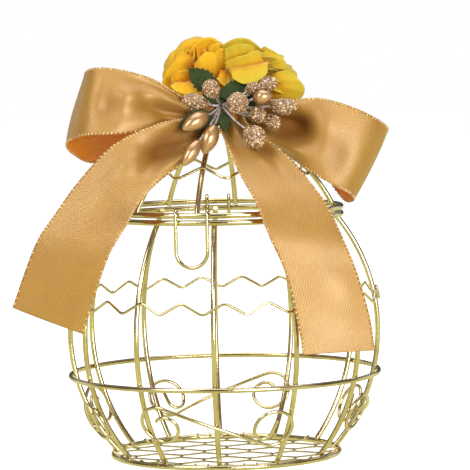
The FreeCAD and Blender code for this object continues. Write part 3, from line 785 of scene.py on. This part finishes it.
def flapPiece(footLeft, footRight, rimLeft, rimMiddle, rimRight, swell, dice):
    feet = [knotMiddle + Vector(place) for place in (footLeft, footRight)]
    rims = [knotMiddle + Vector(place) for place in (rimLeft, rimMiddle, rimRight)]
    outward = (feet[1] - feet[0]).cross(rims[1] - feet[0]).normalized()
    if outward.y > 0:
        outward = -outward
    wave = dice.uniform(0, looseTurn)
    crinklesAcross, crinklesAlong = flapShape["crinkles"]

    def pointAt(across, along):
        share = (across + 1) / 2
        left = 2 * (share - 0.5) * (share - 1)
        middle = 4 * share * (1 - share)
        right = 2 * share * (share - 0.5)
        rim = rims[0] * left + rims[1] * middle + rims[2] * right
        lip = max(0.0, along - flapShape["lip"])
        lift = swell * math.sin(math.pi * along) * (1 - flapShape["cup"] * across ** 2)
        lift += flapShape["lipBend"] * lip ** 2
        lift += flapShape["ruffle"] * along ** 2 * math.sin(flapShape["ruffles"] * across + wave)
        lift += flapShape["crinkle"] * math.sin(crinklesAcross * across + crinklesAlong * along + wave)
        return feet[0].lerp(feet[1], share).lerp(rim, along) + outward * lift

    def uvAt(across, along):
        # outer flaps start above the foot, so they carry less of the painted crease shade
        return ((across + 1) / 2, flapShape["paleFoot"] + (1 - flapShape["paleFoot"]) * along)

    return gridPiece(flapShape["columns"], flapShape["rows"], pointAt, uvAt)


def rosePiece(spec):
    dice = random.Random(spec["seed"])
    petals = []
    for ring in petalRings:
        begin = dice.uniform(0, looseTurn)
        for number in range(ring[0]):
            start = begin + 2 * math.pi * number / ring[0] + dice.uniform(*petal["jitter"])
            petals.append(petalPiece(ring, start, dice))
    core = joinPieces(petals)
    forward, aside = spec["lean"]
    turn = Matrix.Rotation(math.radians(aside), 4, "Y") @ Matrix.Rotation(math.radians(forward), 4, "X")
    place = (middleOf(spec["node"]) + Vector(spec["shift"])) * mm
    core.data.transform(Matrix.Translation(place) @ turn @ Matrix.Scale(spec["spread"], 4))
    rose = joinPieces([core] + [flapPiece(*flap, dice) for flap in spec["flaps"]])
    thicken(rose, paper["thickness"])
    finishPiece(rose, spec["name"], (spec["paper"],), "lid", spec["slot"], (spec["node"],))


rosePiece(leftRose)
rosePiece(rightRose)
print("roses folded")


# leaves and calyxes

# each leaf's stalk and tip from the knot's middle, and the way its face looks
leafSpray = {
    "dark": (0.005, 0.013, 0.003), "green": (0.052, 0.082, 0.013), "veins": 3.2, "veinLean": 45,
    "veinStray": 1.5, "mottle": 900.0, "relief": (0.5, 0.0003), "thickness": 0.25, "slimness": 0.62,
    "belly": 0.8, "roundness": 0.85, "teeth": 7, "toothRoot": 0.88, "toothDepth": 0.26, "crease": 0.12,
    "arch": 0.05, "columns": 16, "rows": 42,
    "places": [
        ((-1.9, -2.0, 6.4), (-9.3, 0.4, 12.8), (-0.3, -1, 0.2)),
        ((-0.6, -3.4, 5.0), (8.8, -4.6, 8.2), (0, -0.8, 0.6)),
        ((-3.0, -8.6, -0.2), (-12.2, -11.8, -3.2), (0, -1, 0.3)),
        ((0.2, -7.4, 0.6), (0.5, -10.6, -4.6), (0, -1, 0.2)),
        ((3.8, -3.2, 2.4), (-5.6, -2.6, 5.6), (0.1, -1, 0.3)),
        ((0.6, -3.0, 3.6), (12.0, -3.2, 5.2), (0, -1, 0.3)),
    ],
}


def leafFinish(spec):
    finish = Finish("leafGreen")
    veins = finish.waves(finish.coords("UV"), spec["veinLean"], Scale=spec["veins"],
                         Distortion=spec["veinStray"], Detail=2.0)
    tone = finish.mix(0.5, veins, finish.noise(finish.coords("Object"), spec["mottle"]))
    finish.into(finish.ramp(tone, (0.25, spec["dark"]), (0.7, spec["green"])), "Base Color")
    finish.bump(tone, *spec["relief"])
    finish.set(Roughness=0.65, Sheen_Weight=0.05, Specular_IOR_Level=0.25)
    return finish.material


def leafPiece(spec, stalk, tip, face):
    base = knotMiddle + Vector(stalk)
    along = Vector(tip) - Vector(stalk)
    side = Vector(face).cross(along).normalized()
    out = along.cross(side).normalized()
    if out.dot(Vector(face)) < 0:
        out = -out
    length = along.length

    def pointAt(across, share):
        tooth = (share * spec["teeth"]) % 1.0
        edge = math.sin(math.pi * share ** spec["belly"]) ** spec["roundness"]
        edge *= spec["toothRoot"] + spec["toothDepth"] * tooth * abs(across) ** 3
        half = length * spec["slimness"] / 2 * edge
        fold = spec["arch"] * length * math.sin(math.pi * share) - spec["crease"] * half * (1 - abs(across))
        return base + along * share + side * (half * across) + out * fold

    def uvAt(across, share):
        return (abs(across), share)

    return gridPiece(spec["columns"], spec["rows"], pointAt, uvAt)


leafMaterial = leafFinish(leafSpray)
for greenName in ("rose_calyx_left", "rose_calyx_right"):
    dressNode(greenName, leafMaterial)
leaves = joinPieces([leafPiece(leafSpray, *place) for place in leafSpray["places"]])
thicken(leaves, leafSpray["thickness"])
finishPiece(leaves, "paper_leaves", (leafMaterial,), "lid", "leaf_green", ("leaves",))
print("leaves laid")


# berries on their stems

hub = middleOf("stem_binding")
# each berry's middle from the hub, length and diameter
sugarBerries = [
    ((-7.2, -0.5, 1.1), 7.8, 4.9), ((-2.6, -3.8, 4.6), 6.4, 4.6), ((4.3, -5.9, 0.7), 6.4, 6.0),
    ((12.7, 0.9, 5.5), 6.4, 4.2), ((8.6, -1.8, 4.6), 4.4, 3.4), ((17.1, -3.0, -0.5), 8.0, 4.6),
    ((9.8, -3.5, -2.6), 5.2, 4.4), ((14.0, -1.5, -4.7), 5.2, 4.4), ((8.8, -8.0, -8.4), 7.4, 6.2),
]
pearlBerries = [
    ((-7.2, -7.5, -4.1), 9.0, 4.8), ((-3.5, -6.5, -8.9), 9.2, 5.0), ((-8.5, -12.6, -12.4), 9.0, 4.0),
    ((11.4, -4.5, 2.3), 5.6, 4.2),
]


def berryPlace(offset, length, diameter, nod):
    aim = Vector(offset)
    turn = Vector((aim.x, nod * aim.y, aim.z)).to_track_quat("Z", "Y").to_matrix().to_4x4()
    shape = Matrix.Diagonal((diameter / 2, diameter / 2, length / 2, 1))
    return Matrix.Translation((hub + aim) * mm) @ turn @ Matrix.Scale(mm, 4) @ shape


def placeBerry(ball, spec, offset, length, diameter):
    for vertex in ball.data.vertices:
        taper = 1 + spec["lean"] * vertex.co.z - spec["pinch"] * vertex.co.z ** 2
        vertex.co.x *= taper
        vertex.co.y *= taper
    ball.data.transform(berryPlace(offset, length, diameter, spec["nod"]))


sugar = {
    "dark": (0.10, 0.042, 0.012), "mid": (0.40, 0.22, 0.092), "light": (0.80, 0.58, 0.35),
    "glints": 1600.0, "gloss": (0.08, 0.34), "detail": 6, "lean": 0.14, "pinch": 0.14, "nod": 1.0,
    "grain": 0.8, "crisp": 2.2, "relief": 0.5, "level": 0.7, "tone": 0.25, "toneTurns": (40, 70, 110),
}


def sugarFinish(spec):
    finish = Finish("sugarGrain")
    # painted crevice shade: dark where the granule height is low, light on the granule tops, with random
    # tone per granule
    stops = ((0.15, spec["dark"]), (0.55, spec["mid"]), (0.95, spec["light"]))
    finish.into(finish.ramp(finish.attribute("lump"), *stops), "Base Color")
    glints = finish.noise(finish.coords("Object"), spec["glints"])
    finish.into(finish.span(glints, *spec["gloss"]), "Roughness")
    finish.set(Specular_IOR_Level=0.8, Coat_Weight=0.6, Coat_Roughness=0.05, Metallic=0.15)
    return finish.material


def sugarBerry(offset, length, diameter):
    deselect()
    bpy.ops.mesh.primitive_ico_sphere_add(subdivisions=sugar["detail"], radius=1)
    ball = bpy.context.object
    placeBerry(ball, sugar, offset, length, diameter)
    centre = (hub + Vector(offset)) * mm
    grain = sugar["grain"] * mm
    # granule height times random tone, kept as the painted crevice shade mask
    creviceShadeAndTone = ball.data.attributes.new("lump", "FLOAT", "POINT")
    for vertex in ball.data.vertices:
        near, cells = noise.voronoi(vertex.co / grain)
        lump = math.sqrt(min(1.0, sugar["crisp"] * (near[1] - near[0])))
        tone = math.sin(cells[0].dot(Vector(sugar["toneTurns"])))
        creviceShadeAndTone.data[vertex.index].value = lump * (1 - sugar["tone"] + sugar["tone"] * tone)
        vertex.co += (vertex.co - centre).normalized() * (lump - sugar["level"]) * sugar["relief"] * grain
    bpy.ops.object.shade_smooth()
    return ball


pearl = {
    "front": (0.48, 0.27, 0.10), "slant": (0.24, 0.095, 0.022), "rim": (0.52, 0.32, 0.16),
    "turning": 0.35, "glossPatches": 500.0, "gloss": (0.2, 0.32), "dimples": 900.0, "relief": (0.08, 0.0002),
    "lean": -0.1, "pinch": 0.24, "nod": 0.5,
}


def pearlFinish(spec):
    finish = Finish("pearlGold")
    place = finish.coords("Object")
    paintedViewShade = finish.node("LayerWeight", Blend=spec["turning"]).outputs["Facing"]
    # painted shade and highlight by view angle: bright facing the view, dark on the slanting sides, bright
    # again at the outline
    stops = ((0.1, spec["front"]), (0.6, spec["slant"]), (0.95, spec["rim"]))
    finish.into(finish.ramp(paintedViewShade, *stops), "Base Color")
    finish.into(finish.span(finish.noise(place, spec["glossPatches"]), *spec["gloss"]), "Roughness")
    finish.set(Metallic=0.5, Coat_Weight=1.0, Coat_Roughness=0.12, Specular_IOR_Level=0.8)
    finish.bump(finish.noise(place, spec["dimples"]), *spec["relief"])
    return finish.material


def pearlBerry(offset, length, diameter):
    deselect()
    bpy.ops.mesh.primitive_uv_sphere_add(segments=40, ring_count=28, radius=1)
    ball = bpy.context.object
    placeBerry(ball, pearl, offset, length, diameter)
    bpy.ops.object.shade_smooth()
    return ball


sugarMaterial = sugarFinish(sugar)
sugarGroups = {"sugar_berries_left": sugarBerries[:4], "sugar_berries_right": sugarBerries[4:]}
for groupName, berries in sugarGroups.items():
    sugarGroup = joinPieces([sugarBerry(*berry) for berry in berries])
    finishPiece(sugarGroup, groupName, (sugarMaterial,), "lid", "sugar_grain", ("sugar_berries",))
pearlGroup = joinPieces([pearlBerry(*berry) for berry in pearlBerries])
pearlMaterial = pearlFinish(pearl)
finishPiece(pearlGroup, "pearl_berries_gold", (pearlMaterial,), "lid", "pearl_gold", ("pearl_berries",))
print("berries made")


def tubesThrough(name, runs, radius):
    curve = bpy.data.curves.new(name, "CURVE")
    curve.dimensions = "3D"
    curve.bevel_depth = radius * mm
    curve.bevel_resolution = 2
    curve.use_fill_caps = True
    for points in runs:
        spline = curve.splines.new("NURBS")
        spline.points.add(len(points) - 1)
        for target, point in zip(spline.points, points):
            target.co = (*(Vector(point) * mm), 1)
        spline.order_u = 3
        spline.use_endpoint_u = True
        spline.resolution_u = 4
    piece = bpy.data.objects.new(name, curve)
    bpy.context.scene.collection.objects.link(piece)
    selectOnly(piece)
    bpy.ops.object.convert(target="MESH")
    bpy.ops.object.shade_smooth()
    return bpy.context.object


stem = {
    "dark": (0.26, 0.215, 0.205), "pale": (0.66, 0.60, 0.59), "strands": 1400.0, "glossPatches": 2500.0,
    "gloss": (0.25, 0.5), "fuzz": 5000.0, "relief": (0.3, 0.0001), "radius": 0.38, "start": 0.6, "sunk": 0.4,
    "sag": (0, -0.35, -0.5), "sagLength": 12, "bends": (0.35, 0.7),
}


def stemFinish(spec):
    finish = Finish("silverThread")
    place = finish.coords("Object")
    strands = finish.noise(place, spec["strands"])
    finish.into(finish.ramp(strands, (0.3, spec["dark"]), (0.7, spec["pale"])), "Base Color")
    finish.into(finish.span(finish.noise(place, spec["glossPatches"]), *spec["gloss"]), "Roughness")
    finish.set(Metallic=0.75)
    finish.bump(finish.noise(place, spec["fuzz"]), *spec["relief"])
    return finish.material


def stemRun(spec, offset, length):
    aim = Vector(offset)
    way = aim.normalized()
    end = aim - way * (length / 2 - spec["sunk"])
    sag = Vector(spec["sag"]) * min(1.0, aim.length / spec["sagLength"])
    bends = [hub + end * share + sag for share in spec["bends"]]
    return [hub + way * spec["start"], *bends, hub + end]


stemRuns = [stemRun(stem, offset, length) for offset, length, diameter in sugarBerries + pearlBerries]
stems = tubesThrough("silver_stems", stemRuns, stem["radius"])
finishPiece(stems, "silver_stems", (stemFinish(stem),), "lid", "silver_thread", ("berry_stems",))


tape = {"winds": 5.5, "steps": 90, "narrow": 0.12, "wide": 1.0, "back": 2.2, "run": 2.6, "radius": 0.42}


def bindingPiece(spec):
    points = []
    for step in range(spec["steps"] + 1):
        share = step / spec["steps"]
        angle = 2 * math.pi * spec["winds"] * share
        radius = spec["narrow"] + spec["wide"] * math.sin(math.pi * share)
        depth = spec["back"] - spec["run"] * share
        points.append(hub + Vector((radius * math.cos(angle), depth, radius * math.sin(angle))))
    binding = tubesThrough("taped_binding", [points], spec["radius"])
    finishPiece(binding, "taped_binding", (leafMaterial,), "lid", "leaf_green", ("stem_binding",))


bindingPiece(tape)
print("stems bound")


# floor of hexagonal netting: each wire twists with one neighbour, then slants over to the next

netting = {"cell": 12.8, "twist": 4.4, "slant": 3.8, "wire": 0.5, "twistSteps": 8, "slantSteps": 4,
           "shortest": 5.0, "hookAngles": (150, 120, 90, 70, 55)}


def nettingWire(spec, index, rows, level):
    radius = spec["wire"] / 2
    points = []
    for row in range(-rows, rows + 1):
        atLeft = (index + row) % 2
        axis = (index if atLeft else index + 1) * spec["cell"] / 2
        foot = row * (spec["twist"] + spec["slant"]) - spec["twist"] / 2
        begin = 0 if atLeft else math.pi
        for step in range(spec["twistSteps"] + 1):
            share = step / spec["twistSteps"]
            angle = begin + 2 * math.pi * share
            points.append((axis + radius * math.cos(angle), foot + spec["twist"] * share,
                           level + radius * math.sin(angle)))
        start = Vector(points[-1])
        swing = spec["cell"] / 2 - spec["wire"]
        end = start + Vector((swing if atLeft else -swing, spec["slant"], 0))
        for step in range(1, spec["slantSteps"]):
            points.append(tuple(start.lerp(end, step / spec["slantSteps"])))
    return points


def runsInside(points, reach):
    runs, run = [], []
    for point in points:
        if math.hypot(point[0], point[1]) < reach:
            run.append(point)
        elif run:
            runs.append(run)
            run = []
    return runs


def hookOver(spec, point, ringRadius, grip, level):
    away = Vector((point[0], point[1], 0)).normalized()
    hook = []
    for angle in spec["hookAngles"]:
        out = ringRadius + grip * math.cos(math.radians(angle))
        hook.append(away * out + Vector((0, 0, level + grip * math.sin(math.radians(angle)))))
    return hook


def nettedFloorPiece(spec):
    low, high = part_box("base_mesh")
    level = (low.z + high.z) / 2 / mm
    ringLow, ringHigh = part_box("base_ring")
    ringWire = (ringHigh.z - ringLow.z) / mm
    ringRadius = ringHigh.x / mm - ringWire / 2
    grip = (ringWire + spec["wire"]) / 2
    inner = ringRadius - grip
    rows = int(inner // (spec["twist"] + spec["slant"])) + 1
    columns = int(2 * inner // spec["cell"]) + 1
    runs = []
    for index in range(-columns, columns):
        for run in runsInside(nettingWire(spec, index, rows, level), inner):
            if (Vector(run[-1]) - Vector(run[0])).length < spec["shortest"]:
                continue
            first = hookOver(spec, run[0], ringRadius, grip, level)
            last = hookOver(spec, run[-1], ringRadius, grip, level)
            runs.append(first[::-1] + run + last)
    floor = tubesThrough("netted_floor", runs, spec["wire"] / 2)
    finishPiece(floor, "netted_floor", (wireFinish,), "cage", "gold_wire", ("base_mesh",))


nettedFloorPiece(netting)
print("floor netted")
